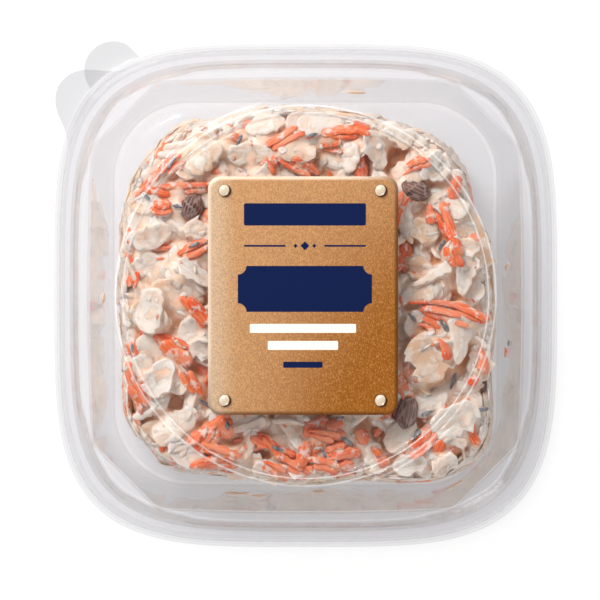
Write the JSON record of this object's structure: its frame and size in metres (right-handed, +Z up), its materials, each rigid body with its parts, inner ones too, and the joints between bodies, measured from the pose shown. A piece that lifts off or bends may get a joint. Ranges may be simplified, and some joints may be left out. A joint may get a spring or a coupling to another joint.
{
  "type": "packed coleslaw in a clear lidded tub",
  "caption": "Square clear tub with bulging sides and a push-on clear lid, filled with coleslaw of cabbage, carrot and raisins, with a riveted-look gold label on the lid.",
  "frame": {"origin": "middle of the tub's underside, on the surface it stands on", "axes": "+Z up through the lid, +Y towards the label's top edge, +X to the right when the label is read upright"},
  "size_m": [0.14, 0.1408, 0.05],
  "materials": {
    "tub_plastic": "clear thermoformed plastic, glossy",
    "lid_plastic": "clear thermoformed plastic, glossy",
    "label_gold": "fine grainy satin gold print with navy and cream fields",
    "slaw": "moist, coated with glossy dressing",
    "raisin": "wrinkled, slightly glossy"
  },
  "bodies": {
    "root": {"tub": "tub_plastic", "lid": "lid_plastic", "label": "label_gold", "slaw": "slaw", "raisin_1": "raisin", "raisin_2": "raisin", "raisin_3": "raisin"}
  },
  "joints": []
}
